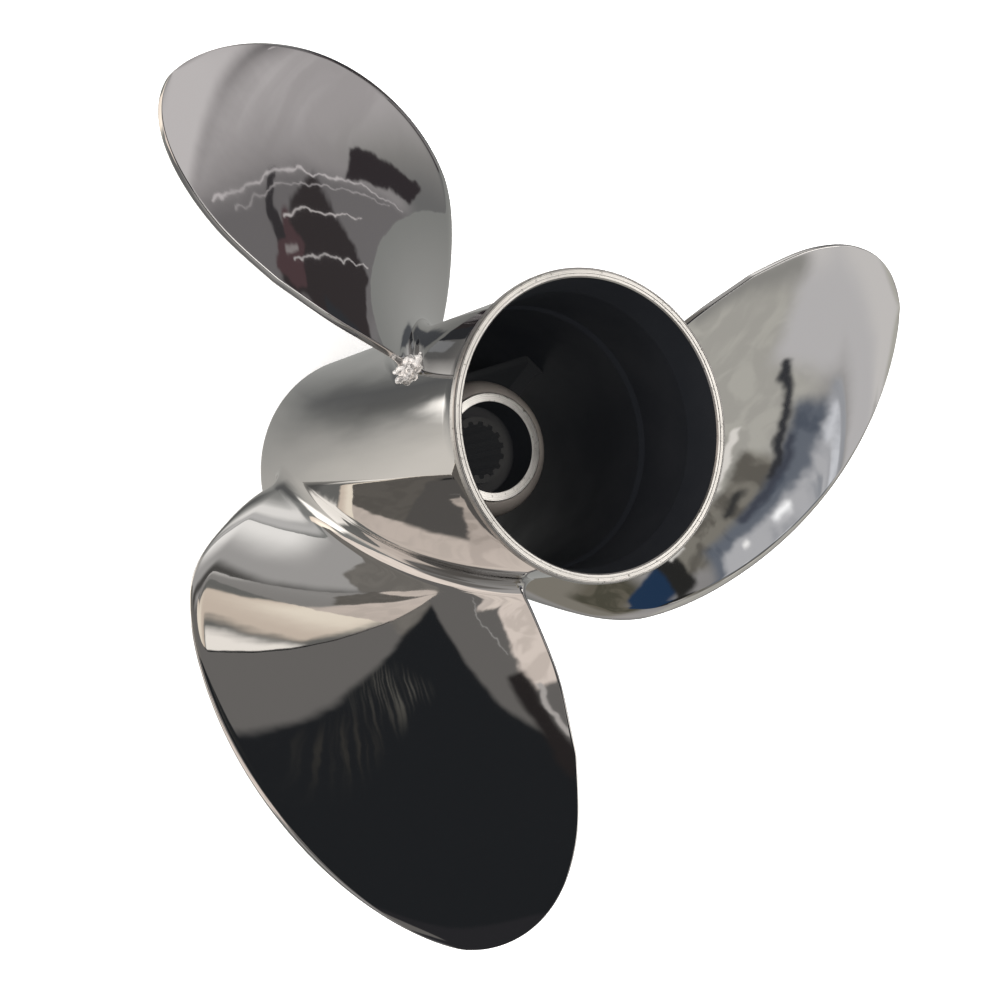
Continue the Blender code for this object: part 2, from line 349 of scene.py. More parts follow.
@dataclass(frozen=True)
class MirrorSteel(Finish):
    """Mirror-polished stainless steel with slight waves from hand polishing."""

    wave_scale: float = 26.0
    wave_amount: float = 0.00016
    ripple_scale: float = 90.0
    ripple_amount: float = 0.00002
    haze_scale: float = 35.0

    def surface(self, wiring: Wiring) -> dict[str, NodeSocket]:
        """Return the waves and a hazy roughness.

        Args:
            wiring: the material's wiring.

        Returns:
            The Height in metres, and sockets by the shader's inputs.
        """
        waves = wiring.group(Effects.polish_waves(), {
            "Scale": self.wave_scale, "Amount": self.wave_amount,
            "Ripple Scale": self.ripple_scale, "Ripple Amount": self.ripple_amount})
        haze = wiring.noise(wiring.place(), self.haze_scale, Detail=4.0)
        rough = wiring.math("MULTIPLY_ADD", haze, self.roughness, self.roughness / 2)
        return {"Height": waves.outputs["Height"], "Roughness": rough}


@dataclass(frozen=True)
class MachinedSteel(Finish):
    """Turned steel with fine rings and a few pits."""

    lines: float = 5000.0
    depth: float = 0.000012
    pit_color: Color = (0.16, 0.15, 0.14)
    pit_share: float = 0.38
    dull_share: float = 0.6
    dull_range: Point = (0.35, 0.6)

    def surface(self, wiring: Wiring) -> dict[str, NodeSocket]:
        """Return the rings and the pits.

        Args:
            wiring: the material's wiring.

        Returns:
            The Height in metres, and sockets by the shader's inputs.
        """
        marks = wiring.group(Effects.turning_marks(), {"Lines": self.lines, "Amount": self.depth}).outputs
        pits = wiring.group(Effects.specks(), {"Share": self.pit_share}).outputs["Mask"]
        bright = wiring.ramp(marks["Shade"], *self.dull_range)
        tone = wiring.blend(bright, self.dulled(self.dull_share), self.color)
        return {"Height": marks["Height"], "Base Color": wiring.blend(pits, tone, self.pit_color),
                "Roughness": self.varied(wiring, marks["Shade"])}


@dataclass(frozen=True)
class CastSteel(Finish):
    """An even satin skin with a cloudy tone and a fine grain, as on unpolished steel or rubber."""

    cloud_color: Color = (0.10, 0.095, 0.09)
    cloud_scale: float = 45.0
    cloud_range: Point = (0.35, 0.68)
    grain_scale: float = 1400.0
    grain: float = 0.00001

    def surface(self, wiring: Wiring) -> dict[str, NodeSocket]:
        """Return the clouds and the grain.

        Args:
            wiring: the material's wiring.

        Returns:
            The Height in metres, and sockets by the shader's inputs.
        """
        place = wiring.place()
        cloud = wiring.noise(place, self.cloud_scale, Detail=5.0)
        tone = wiring.blend(wiring.ramp(cloud, *self.cloud_range), self.color, self.cloud_color)
        fine = wiring.noise(place, self.grain_scale, Detail=2.0)
        return {"Height": wiring.math("MULTIPLY", fine, self.grain), "Base Color": tone,
                "Roughness": self.varied(wiring, cloud)}


@dataclass(frozen=True)
class WeldSteel(Finish):
    """The bright crinkled metal of a weld that was brushed but not polished."""

    crinkle_scale: float = 330.0
    crinkle: float = 0.00016
    dull_share: float = 0.35
    dull_range: Point = (0.38, 0.55)

    def surface(self, wiring: Wiring) -> dict[str, NodeSocket]:
        """Return the crinkles.

        Args:
            wiring: the material's wiring.

        Returns:
            The Height in metres, and sockets by the shader's inputs.
        """
        folds = wiring.noise(wiring.place(), self.crinkle_scale, Detail=3.0, Distortion=1.2)
        # The dull tone falls in the crinkles' hollows, which the same noise sinks in the bump: painted shade.
        bright = wiring.ramp(folds, *self.dull_range)
        return {"Height": wiring.math("MULTIPLY", folds, self.crinkle),
                "Base Color": wiring.blend(bright, self.dulled(self.dull_share), self.color)}


# Geometry node trees


class Trees:
    """Geometry node trees, each built once."""

    @staticmethod
    def joined(wiring: Wiring, mesh: NodeSocket, sharp: NodeSocket) -> NodeSocket:
        """Return the mesh with its doubles merged, smooth apart from edges sharper than an angle.

        Args:
            wiring: the tree's wiring.
            mesh: the mesh.
            sharp: the angle, in radians.

        Returns:
            The joined mesh.
        """
        merged = wiring.shape("MergeByDistance", {"Geometry": mesh, "Distance": MERGE_DISTANCE})
        smooth = wiring.shape("SetShadeSmooth", {"Geometry": merged}, domain="FACE")
        crease = wiring.math("GREATER_THAN", wiring.shape("InputMeshEdgeAngle"), sharp)
        return wiring.shape("SetShadeSmooth", {"Geometry": smooth, "Selection": crease,
                                               "Shade Smooth": False}, domain="EDGE")

    @staticmethod
    def painted(wiring: Wiring, mesh: NodeSocket, material: NodeSocket, **where: NodeSocket) -> NodeSocket:
        """Return the mesh with a material on it, or only on its Selection."""
        return wiring.shape("SetMaterial", {"Geometry": mesh, "Material": material, **where})

    @staticmethod
    @functools.cache
    def turned() -> NodeTree:
        """Return the tree that turns a closed profile around the shaft axis.

        The profile's points lie in the XZ plane and run anticlockwise around the metal.

        Returns:
            The node group.
        """
        wiring, given, out = new_group("turned_on_shaft", TreeKind.GEOMETRY, {
            "Profile": "Geometry", "Segments": 256, "Sharp Angle": 0.6, "Material": "Material",
            "Inside Material": "Material", "Face Material": "Material", "Face From": 1.0,
            "Inside From": -0.8}, "Mesh")
        count = wiring.shape("AttributeDomainSize", {"Geometry": given["Profile"]})
        rows = wiring.math("ADD", count, 1.0)
        columns = wiring.math("ADD", given["Segments"], 1.0)
        grid = wiring.shape("MeshGrid", {"Vertices X": columns, "Vertices Y": rows})
        index = wiring.shape("InputIndex")
        step = wiring.math("FLOOR", wiring.math("DIVIDE", wiring.math("ADD", index, 0.5), rows))
        along = wiring.math("SUBTRACT", index, wiring.math("MULTIPLY", step, rows))
        position = wiring.shape("InputPosition")
        point = wiring.shape("SampleIndex", {
            "Geometry": given["Profile"], "Value": position,
            "Index": wiring.math("MODULO", along, count)}, data_type="FLOAT_VECTOR")
        turn = wiring.math("MULTIPLY", wiring.math("DIVIDE", step, given["Segments"]), math.tau)
        spun = wiring.shade("VectorRotate", {"Vector": point, "Angle": turn}, rotation_type="Z_AXIS")
        mesh = wiring.shape("SetPosition", {"Geometry": grid, "Position": spun})
        mesh = Trees.joined(wiring, mesh, given["Sharp Angle"])
        mesh = Trees.painted(wiring, mesh, given["Material"])
        on_face = wiring.math("GREATER_THAN", wiring.part(position, "Z"), given["Face From"])
        mesh = Trees.painted(wiring, mesh, given["Face Material"], Selection=on_face)
        outward = wiring.vector("NORMALIZE", wiring.vector("MULTIPLY", position, (1.0, 1.0, 0.0)))
        facing = wiring.vector("DOT_PRODUCT", wiring.shape("InputNormal"), outward)
        inside = wiring.math("LESS_THAN", facing, given["Inside From"])
        mesh = Trees.painted(wiring, mesh, given["Inside Material"], Selection=inside)
        return wiring.ended(out, {"Mesh": wiring.shape("RealizeInstances", {"Geometry": mesh})})

    @staticmethod
    @functools.cache
    def around() -> NodeTree:
        """Return the tree that repeats a piece evenly around the shaft axis and joins the copies.

        Returns:
            The node group.
        """
        wiring, given, out = new_group("around_the_shaft", TreeKind.GEOMETRY, {
            "Piece": "Geometry", "Count": 3, "Sharp Angle": 0.6, "Material": "Material"}, "Mesh")
        points = wiring.shape("Points", {"Count": given["Count"]})
        share = wiring.math("DIVIDE", wiring.shape("InputIndex"), given["Count"])
        euler = wiring.shade("CombineXYZ", {"Z": wiring.math("MULTIPLY", share, math.tau)})
        turn = wiring.node("FunctionNodeEulerToRotation", {0: euler}).outputs[0]
        copies = wiring.shape("InstanceOnPoints", {
            "Points": points, "Instance": given["Piece"], "Rotation": turn})
        mesh = wiring.shape("RealizeInstances", {"Geometry": copies})
        mesh = Trees.joined(wiring, mesh, given["Sharp Angle"])
        return wiring.ended(out, {"Mesh": Trees.painted(wiring, mesh, given["Material"])})

    @staticmethod
    @functools.cache
    def weld_lumps() -> NodeTree:
        """Return the tree that heaps small lumps of weld metal along a path and melts them together.

        Returns:
            The node group.
        """
        wiring, given, out = new_group("weld_lumps", TreeKind.GEOMETRY, {
            "Path": "Geometry", "Count": 40, "Size": 0.0016, "Spread": 0.001, "Seed": 3,
            "Material": "Material"}, "Mesh")
        away, size, spin = (
            wiring.node("FunctionNodeRandomValue", {0: low, 1: high, "Seed": given["Seed"]},
                        data_type="FLOAT_VECTOR").outputs[0]
            for low, high in (((-1.0, -1.0, -1.0), (1.0, 1.0, 1.0)), ((0.5, 0.5, 0.3), (1.2, 1.0, 0.7)),
                              ((0.0, 0.0, 0.0), (math.tau, math.tau, math.tau))))
        curve = wiring.shape("MeshToCurve", {"Mesh": given["Path"]})
        points = wiring.shape("CurveToPoints", {"Curve": curve, "Count": given["Count"]})
        points = wiring.shape("SetPosition", {
            "Geometry": points, "Offset": wiring.scaled(away, given["Spread"])})
        ball = wiring.shape("MeshIcoSphere", {"Radius": 1.0, "Subdivisions": 3})
        lumps = wiring.shape("InstanceOnPoints", {
            "Points": points, "Instance": ball, "Scale": wiring.scaled(size, given["Size"]),
            "Rotation": wiring.node("FunctionNodeEulerToRotation", {0: spin}).outputs[0]})
        body = wiring.shape("MeshToVolume", {
            "Mesh": wiring.shape("RealizeInstances", {"Geometry": lumps}), "Voxel Size": WELD_GRAIN,
            "Interior Band Width": WELD_DEPTH}, resolution_mode="VOXEL_SIZE")
        mesh = wiring.shape("VolumeToMesh", {"Volume": body, "Threshold": WELD_THRESHOLD})
        mesh = wiring.shape("SetShadeSmooth", {"Geometry": mesh})
        return wiring.ended(out, {"Mesh": Trees.painted(wiring, mesh, given["Material"])})


def finished(piece: Object, slot: Slot, *nodes: str) -> None:
    """Let a piece ride on the body and stand for its CAD nodes, and report it.

    Args:
        piece: the piece.
        slot: its material slot; not used.
        nodes: the CAD nodes that it stands for.
    """
    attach(piece, BODY)
    if nodes:
        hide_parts(*nodes)
    LOG.info("%s: %d faces", piece.name, len(piece.data.polygons))


def added(name: str, mesh: Mesh) -> Object:
    """Return a new object in the scene.

    Args:
        name: the object's name.
        mesh: its mesh, or another kind of data.

    Returns:
        The object.
    """
    piece = bpy.data.objects.new(name, mesh)
    bpy.context.scene.collection.objects.link(piece)
    return piece


def baked(name: str, source: Mesh, tree: NodeTree, values: dict[str, Any], slot: Slot, *nodes: str) -> None:
    """Run a geometry tree on a mesh and keep the result as a finished piece of plain mesh.

    Args:
        name: the piece's name.
        source: the mesh that the tree works on.
        tree: the geometry node tree.
        values: the tree's inputs by name.
        slot: the piece's material slot.
        nodes: the CAD nodes that it stands for.
    """
    piece = added(name, source)
    modifier = piece.modifiers.new(name, "NODES")
    modifier.node_group = tree
    for socket in tree.interface.items_tree:
        if socket.item_type == "SOCKET" and socket.in_out == "INPUT" and socket.name in values:
            modifier[socket.identifier] = values[socket.name]
    graph = bpy.context.evaluated_depsgraph_get()
    mesh = bpy.data.meshes.new_from_object(piece.evaluated_get(graph), depsgraph=graph)
    mesh.name = name
    if mesh.materials[0] is None:
        mesh.materials.pop(index=0)
    piece.modifiers.remove(modifier)
    piece.data = mesh
    bpy.data.meshes.remove(source)
    finished(piece, slot, *nodes)


def mesh_of(name: str, points: Sequence[Sequence[float]], faces: Sequence[Sequence[int]] = (),
            edges: Sequence[Sequence[int]] = ()) -> Mesh:
    """Return a mesh made of points with faces or edges.

    Args:
        name: the mesh's name.
        points: the places of its points.
        faces: each face's points, by number.
        edges: each loose edge's points.

    Returns:
        The mesh.
    """
    mesh = bpy.data.meshes.new(name)
    rounded = [tuple(map(float, point)) for point in points]
    mesh.from_pydata(rounded, list(edges), [tuple(face) for face in faces])
    return mesh


def arc(center: Point, radii: Point, start: float, end: float, steps: int) -> list[Point]:
    """Return points along an elliptical arc, with its angles in degrees."""
    angles = np.radians(np.linspace(start, end, steps + 1))
    return [(center[0] + radii[0] * math.cos(a), center[1] + radii[1] * math.sin(a)) for a in angles]


def turned_piece(name: str, outline: list[Point], values: dict[str, Any], slot: Slot, node: str,
                 guard: float = 0.0003) -> None:
    """Turn a closed section around the shaft axis, as one finished piece.

    Args:
        name: the piece's name.
        outline: the section as radius and height above the front face.
        values: the turning tree's inputs by name.
        slot: the piece's material slot.
        node: the CAD node that it stands for.
        guard: the place of a guard point beside each corner, which keeps flats flat in the shading.
    """
    area = sum(a[0] * b[1] - b[0] * a[1] for a, b in zip(outline, outline[1:] + outline[:1]))
    ordered = outline if area > 0 else outline[::-1]
    points = []
    for (r0, z0), (r1, z1) in zip(ordered, ordered[1:] + ordered[:1]):
        length = math.hypot(r1 - r0, z1 - z0)
        shares = [0.0]
        if length > 4 * guard:
            pieces = max(1, math.ceil(length / LONGEST_STRETCH))
            inner = [i / pieces for i in range(1, pieces)]
            shares += [guard / length] + inner + [1 - guard / length]
        points += [(r0 + (r1 - r0) * s, 0.0, z0 + (z1 - z0) * s + FRONT) for s in shares]
    loop = [(i, (i + 1) % len(points)) for i in range(len(points))]
    section = mesh_of(name + "_section", points, edges=loop)
    baked(name, section, Trees.turned(), values, slot, node)


# Sub-assemblies


@dataclass
class Barrel:
    """The polished outer tube, with its rounded front lip and the step in its bore."""

    front_radius: float = 0.0480
    taper: float = 0.0120
    wall: float = 0.0030
    nose_length: float = 0.0045
    nose_depth: float = 0.0014
    nose_steps: int = 16
    relief_length: float = 0.045
    relief_depth: float = 0.0009
    relief_slope: float = 3.0
    segments: int = 384
    inside_from: float = -0.6

    @property
    def back(self) -> float:
        """The height of the joint with the diffuser ring."""
        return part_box("diffuser_ring")[0].z - FRONT

    def radius(self, height: Any) -> Any:
        """Return the outer radius at a height."""
        return self.front_radius + self.taper * height

    def inside(self, height: float) -> float:
        """Return the radius of the bore at a height, without the relief."""
        return self.radius(height) - self.wall

    def outline(self) -> list[Point]:
        """Return the section of the tube's wall.

        Returns:
            The closed outline as radius and height above the front face.
        """
        relief = HUB_LENGTH - self.relief_length
        nose = arc((self.radius(self.nose_length) - self.nose_depth, self.nose_length),
                   (self.nose_depth, self.nose_length), 0, -90, self.nose_steps)
        return [(self.radius(self.back), self.back), *nose, (self.inside(0.0), 0.0),
                (self.inside(relief), relief),
                (self.inside(relief) + self.relief_depth, relief + self.relief_slope * self.relief_depth),
                (self.inside(self.back) + self.relief_depth, self.back)]

    def build(self, steel: Material, dark: Material) -> None:
        """Build the tube, polished outside and dark inside.

        Args:
            steel: the polished steel.
            dark: the near-black steel of the inside, its tone painted shade.
        """
        turned_piece("barrel_tube", self.outline(), {
            "Segments": self.segments, "Material": steel, "Inside Material": dark,
            "Face Material": steel, "Inside From": self.inside_from}, Slot.POLISHED, "barrel")


@dataclass
class DiffuserRing:
    """The flared flange around the exhaust mouth, polished outside with a machined aft face."""

    barrel: Barrel
    lip_width: float = 0.0028
    mouth_radius: float = 0.0502
    flare_steps: int = 28
    edge_round: float = 0.0007
    edge_steps: int = 8
    mouth_chamfer: float = 0.0005
    groove_width: float = 0.00034
    groove_depth: float = 0.00022
    groove_radii: tuple[float, ...] = (0.05290, 0.05150)
    guard: float = 0.00008
    segments: int = 384

    def outline(self) -> list[Point]:
        """Return the section of the flange.

        Returns:
            The closed outline as radius and height above the front face.
        """
        base = self.barrel.back
        lip_base = HUB_LENGTH - self.lip_width
        r = self.edge_round
        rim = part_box("diffuser_ring")[1].x - r
        flare = arc((rim, base), (rim - self.barrel.radius(base), lip_base - base), 180, 90,
                    self.flare_steps)
        shoulder = arc((rim + r / 2, lip_base + r / 2), (r / 2, r / 2), -90, 0, self.edge_steps - 2)
        edge = arc((rim, HUB_LENGTH - r), (r, r), 0, 90, self.edge_steps)
        face = []
        for radius in self.groove_radii:
            half = self.groove_width / 2
            face += [(radius + half, HUB_LENGTH), (radius + half / 2, HUB_LENGTH - self.groove_depth),
                     (radius - half / 2, HUB_LENGTH - self.groove_depth), (radius - half, HUB_LENGTH)]
        chamfer = [(self.mouth_radius + self.mouth_chamfer, HUB_LENGTH),
                   (self.mouth_radius, HUB_LENGTH - self.mouth_chamfer)]
        root = (self.barrel.inside(base) + self.barrel.relief_depth, base)
        return flare + shoulder + edge + face + chamfer + [root]

    def build(self, steel: Material, dark: Material, machined: Material) -> None:
        """Build the flange.

        Args:
            steel: the polished steel.
            dark: the near-black steel of the inside, its tone painted shade.
            machined: the steel of the aft face.
        """
        lip = FRONT + HUB_LENGTH - self.lip_width + self.edge_round / 2
        turned_piece("diffuser_flange", self.outline(), {
            "Segments": self.segments, "Material": steel, "Inside Material": dark,
            "Face Material": machined, "Face From": lip}, Slot.MACHINED, "diffuser_ring", self.guard)


@dataclass
class InnerHub:
    """The tube that holds the bush, with its rounded shoulder and machined nut seat."""

    wall: float = 0.0050
    seat_radius: float = 0.0201
    seat_bore: float = 0.0167
    seat_step: float = 0.0012
    shoulder_length: float = 0.008
    shoulder_steps: int = 20
    back_wall: float = 0.014
    edge_round: float = 0.0003
    edge_steps: int = 4
    guard: float = 0.0001
    segments: int = 256

    def outline(self) -> list[Point]:
        """Return the section of the tube.

        Returns:
            The closed outline as radius and height above the front face.
        """
        low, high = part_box("inner_hub")
        radius, front, back = high.x, low.z - FRONT, high.z - FRONT
        r = self.edge_round
        shoulder = arc((self.seat_radius, back - self.seat_step - self.shoulder_length),
                       (radius - self.seat_radius, self.shoulder_length), 0, 90, self.shoulder_steps)
        edge = arc((self.seat_radius - r, back - r), (r, r), 0, 90, self.edge_steps)
        mouth = arc((self.seat_bore + r, back - r), (r, r), 90, 180, self.edge_steps)
        bush_bore = radius - self.wall
        step = back - self.back_wall
        return [(bush_bore, front), (radius, front), *shoulder, *edge, *mouth,
                (self.seat_bore, step), (bush_bore, step)]

    def build(self, cast: Material, dark: Material, machined: Material) -> None:
        """Build the tube.

        Args:
            cast: the cast steel of the outside, its dull tone darkened further as painted shade deep in the
                barrel.
            dark: the near-black steel of the inside, its tone painted shade.
            machined: the steel of the nut seat, lightened as painted light.
        """
        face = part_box("inner_hub")[1].z - 2 * self.edge_round
        turned_piece("inner_hub_tube", self.outline(), {
            "Segments": self.segments, "Material": cast, "Inside Material": dark,
            "Face Material": machined, "Face From": face}, Slot.CAST, "inner_hub", self.guard)


@dataclass
class Ribs:
    """The three webs between the inner hub and the barrel, flared where they join."""

    barrel: Barrel
    count: int = 3
    thickness: float = 0.005
    flare: float = 0.0025
    flare_points: int = 9
    angle: float = math.radians(30)

    def section(self, height: float) -> list[Point]:
        """Return the web's outline across the shaft at a height.

        Args:
            height: the height above the front face.

        Returns:
            The closed outline.
        """
        reach = self.thickness / 2 + self.flare
        ends = []
        for radius, sign in ((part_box("inner_hub")[1].x, 1), (self.barrel.inside(height), -1)):
            center = math.sqrt(radius ** 2 - reach ** 2) + sign * self.flare
            ends.append([(center - sign * self.flare * math.cos(a), reach - self.flare * math.sin(a))
                         for a in np.radians(np.linspace(0, 90, self.flare_points))])
        upper = ends[0] + ends[1][::-1]
        return upper + [(x, -y) for x, y in reversed(upper)]

    def build(self, dark: Material) -> None:
        """Build the webs as copies of one.

        Args:
            dark: the steel in the barrel's shade, near black as painted shade and glowing faintly as painted
                light.
        """
        low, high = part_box("rib_1")
        lines = [[(x, y, z) for x, y in self.section(z - FRONT)] for z in (low.z, high.z)]
        size = len(lines[0])
        faces = [range(size), range(2 * size - 1, size - 1, -1)]
        faces += [(size + i, size + (i + 1) % size, (i + 1) % size, i) for i in range(size)]
        source = mesh_of("rib", lines[0] + lines[1], faces)
        source.transform(Matrix.Rotation(self.angle, 4, "Z"))
        baked("ribs", source, Trees.around(), {"Count": self.count, "Material": dark},
              Slot.CAST, "rib_1", "rib_2", "rib_3")


@dataclass
class DriveSleeve:
    """The splined sleeve: one tooth and its groove, repeated around the bore."""

    teeth: int = 15
    root_radius: float = 0.0108
    tip_radius: float = 0.0095
    round_share: float = 0.12

    def build(self, brass: Material) -> None:
        """Build the sleeve from copies of one tooth's sector.

        Args:
            brass: the brass, near black as painted shade in the bore, with a faint glow of painted light.
        """
        low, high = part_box("drive_sleeve")
        pitch = math.tau / self.teeth
        shares = [0.0, 0.25, 0.5 - self.round_share, 0.5, 0.75, 1.0 - self.round_share, 1.0]
        bores = [self.tip_radius] * 3 + [self.root_radius] * 3 + [self.tip_radius]
        size = len(shares)
        points = [(r * math.cos(pitch * s), r * math.sin(pitch * s), z) for z in (low.z, high.z)
                  for radii in (bores, [high.x] * size) for r, s in zip(radii, shares)]
        faces = []
        for first, second in ((0, 2), (3, 1), (1, 0), (2, 3)):
            faces += [(second * size + i, second * size + i + 1, first * size + i + 1, first * size + i)
                      for i in range(size - 1)]
        baked("splined_sleeve", mesh_of("tooth", points, faces), Trees.around(),
              {"Count": self.teeth, "Material": brass}, Slot.BRASS, "drive_sleeve")


@dataclass
class Bush:
    """The rubber bush between the inner hub and the sleeve, with rounded rims."""

    gap: float = 0.0001
    edge_round: float = 0.0008
    edge_steps: int = 6
    segments: int = 192

    def build(self, rubber: Material) -> None:
        """Build the bush.

        Args:
            rubber: the rubber, glowing faintly as painted light in the bore.
        """
        low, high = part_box("rubber_bush")
        inner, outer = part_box("drive_sleeve")[1].x + self.gap, high.x
        front, back, r = low.z - FRONT, high.z - FRONT, self.edge_round
        corners = ((outer - r, front + r, -90), (outer - r, back - r, 0), (inner + r, back - r, 90),
                   (inner + r, front + r, 180))
        outline = [point for x, z, start in corners
                   for point in arc((x, z), (r, r), start, start + 90, self.edge_steps)]
        turned_piece("bush_ring", outline, {
            "Segments": self.segments, "Material": rubber, "Inside Material": rubber,
            "Face Material": rubber}, Slot.RUBBER, "rubber_bush")


@dataclass
class Blade:
    """A helical sheet with a raked, skewed outline, a rounded leading edge and a thick trailing edge."""

    barrel: Barrel
    tip_radius: float = 0.1775
    pitch: float = 0.446
    root_height: float = 0.1112
    rake: float = math.radians(12.8)
    tip_ease_radius: float = 0.150
    tip_ease: float = 0.0033
    root_radius: float = 0.0485
    widest_radius: float = 0.112
    widest_half: float = 0.0667
    root_narrowing: float = 0.48
    root_curve: float = 1.39
    tip_curve: float = 1.95
    tip_fullness: float = 0.605
    skew: tuple[Point, ...] = (
        (0.0485, -30.7), (0.080, -23.8), (0.110, -19.0), (0.140, -10.7), (0.1775, 0.0))
    root_thickness: float = 0.0090
    tip_thickness: float = 0.0030
    edge_thickness: float = 0.0024
    nose_share: float = 0.05
    corner: float = 0.0005
    fillet: float = 0.007
    sink: float = 0.0003
    tip_cut: float = 0.9995
    chord_steps: int = 104
    span_steps: int = 120
    fillet_steps: int = 18
    corner_steps: int = 5
    crowding: float = 0.75
    corner_share: float = 0.4
    corner_limit: float = 0.3
    blend_reach: float = 1.8
    sharp_angle: float = math.radians(50)

    def ease(self, radius: Any) -> Any:
        """Return how far into the eased tip a radius lies, from 0 to 1."""
        return np.maximum(0.0, (radius - self.tip_ease_radius) / (self.tip_radius - self.tip_ease_radius))

    def sheet(self, radius: Any, angle: Any) -> np.ndarray:
        """Return points of the middle sheet at radii and angles from the tip, heights from the front face.

        Args:
            radius: the points' distances from the shaft axis.
            angle: their angles from the tip, in radians.

        Returns:
            The points in the frame.
        """
        rake = (radius - self.root_radius) * math.tan(self.rake) - self.tip_ease * self.ease(radius) ** 2
        height = self.root_height + rake + self.pitch * angle / math.tau
        return np.stack([radius * np.cos(angle), radius * np.sin(angle), height + FRONT], axis=-1)

    def forward(self, radius: Any, angle: Any) -> np.ndarray:
        """Return the sheet's unit normals, facing forward of the blade.

        Args:
            radius: the points' distances from the shaft axis.
            angle: their angles from the tip, in radians.

        Returns:
            One normal for each point.
        """
        easing = 2 * self.tip_ease * self.ease(radius) / (self.tip_radius - self.tip_ease_radius)
        rise = np.full_like(angle, self.pitch / math.tau)
        around = np.stack([-radius * np.sin(angle), radius * np.cos(angle), rise], axis=-1)
        slope = (math.tan(self.rake) - easing) * np.ones_like(angle)
        outwards = np.stack([np.cos(angle), np.sin(angle), slope], axis=-1)
        normal = np.cross(around, outwards)
        return normal / np.linalg.norm(normal, axis=-1, keepdims=True)

    def skew_at(self, radius: float) -> float:
        """Return the angle of the blade's middle line at a radius, in radians.

        Args:
            radius: the distance from the shaft axis.

        Returns:
            The angle from the tip.
        """
        places, values = zip(*self.skew)
        rises = np.diff(values) / np.diff(places)
        slopes = np.concatenate([rises[:1], (rises[:-1] + rises[1:]) / 2, rises[-1:]])
        i = int(np.clip(np.searchsorted(places, radius, side="right") - 1, 0, len(rises) - 1))
        length = places[i + 1] - places[i]
        t = (radius - places[i]) / length
        start = (1 + 2 * t) * (1 - t) ** 2 * values[i] + t * (1 - t) ** 2 * length * slopes[i]
        end = t * t * (3 - 2 * t) * values[i + 1] - t * t * (1 - t) * length * slopes[i + 1]
        return math.radians(start + end)

    def half_width(self, radius: float) -> float:
        """Return half the arc that the blade covers at a radius.

        Args:
            radius: the distance from the shaft axis.

        Returns:
            The length of the half arc.
        """
        if radius < self.widest_radius:
            share = (self.widest_radius - radius) / (self.widest_radius - self.root_radius)
            return self.widest_half * (1 - self.root_narrowing * share ** self.root_curve)
        share = min((radius - self.widest_radius) / (self.tip_radius - self.widest_radius), 1.0)
        return self.widest_half * (1 - share ** self.tip_curve) ** self.tip_fullness

    def half_thickness(self, radius: float, share: np.ndarray) -> np.ndarray:
        """Return half the thickness across the blade, from leading edge 0 to trailing edge 1.

        Args:
            radius: the distance from the shaft axis.
            share: the places across the blade.

        Returns:
            Half the thickness at each place.
        """
        span = (radius - self.root_radius) / (self.tip_radius - self.root_radius)
        full = self.root_thickness + (self.tip_thickness - self.root_thickness) * span
        body = self.edge_thickness + (full - self.edge_thickness) * (4 * share * (1 - share))
        nose = np.minimum(share / self.nose_share, 1.0)
        return body / 2 * np.sqrt(1 - (1 - nose) ** 2)

    def section(self, radius: float, length: float) -> np.ndarray:
        """Return a closed section: distance from the leading edge, and offset towards the forward face.

        Args:
            radius: the distance from the shaft axis.
            length: the distance between the edges, along the helix.

        Returns:
            The points of the section, in pairs.
        """
        even = np.linspace(0.0, 1.0, self.chord_steps + 1)
        corner = min(self.corner, self.corner_share * self.edge_thickness, self.corner_limit * length)
        last = 1 - corner / length
        shares = last * (self.crowding * (1 - np.cos(np.pi * even)) / 2 + (1 - self.crowding) * even)
        turns = np.radians(np.linspace(0, 90, self.corner_steps + 1))[1:]
        bend = last + corner / length * np.sin(turns)
        side = np.concatenate([shares, bend])
        drop = np.concatenate([np.zeros_like(shares), corner * (1 - np.cos(turns))])
        offset = self.half_thickness(radius, side) - drop
        front = np.stack([side * length, offset], axis=1)
        return np.concatenate([front, (front * (1, -1))[:0:-1]])

    def rows(self) -> list[Point]:
        """Return each row of the skin as its height above the root and its fillet's reach.

        Returns:
            The rows from the root to the tip.
        """
        turns = np.radians(np.linspace(0, 90, self.fillet_steps + 1))
        low = [(self.fillet * (1 - math.cos(a)), self.fillet * (1 - math.sin(a))) for a in turns]
        start = self.root_radius + self.fillet
        reach = self.root_radius + (self.tip_radius - self.root_radius) * self.tip_cut - start
        high = [(start + reach * math.sin(math.pi / 2 * i / self.span_steps) - self.root_radius, 0.0)
                for i in range(1, self.span_steps + 1)]
        return low + high

    def row_points(self, height: float, reach: float, sink: float = 0.0) -> np.ndarray:
        """Return the points of one row.

        Args:
            height: how far the row lies above the root radius.
            reach: how far the root fillet widens the section there.
            sink: how far the row is sunk below its place, for the hidden foot.

        Returns:
            The closed row of points in the frame.
        """
        radius = self.root_radius + height
        spread = self.half_width(radius) / radius
        run = math.hypot(radius, self.pitch / math.tau)
        section = self.section(radius, 2 * spread * run)
        if reach > 0:
            tangent = np.roll(section, -1, axis=0) - np.roll(section, 1, axis=0)
            tangent /= np.linalg.norm(tangent, axis=1, keepdims=True)
            section = section + reach * np.stack([-tangent[:, 1], tangent[:, 0]], axis=1)
        angle = self.skew_at(radius) - spread + section[:, 0] / run
        at = np.full_like(angle, radius)
        points = self.sheet(at, angle) + self.forward(at, angle) * section[:, 1:]
        blend = self.blend_reach * self.fillet
        if height < blend:
            share = height / blend
            hold = 1 - share * share * (3 - 2 * share)
            now = np.hypot(points[:, 0], points[:, 1])
            wanted = self.barrel.radius(points[:, 2] - FRONT) + height - sink
            points[:, :2] *= (1 + hold * (wanted / now - 1))[:, None]
        return points

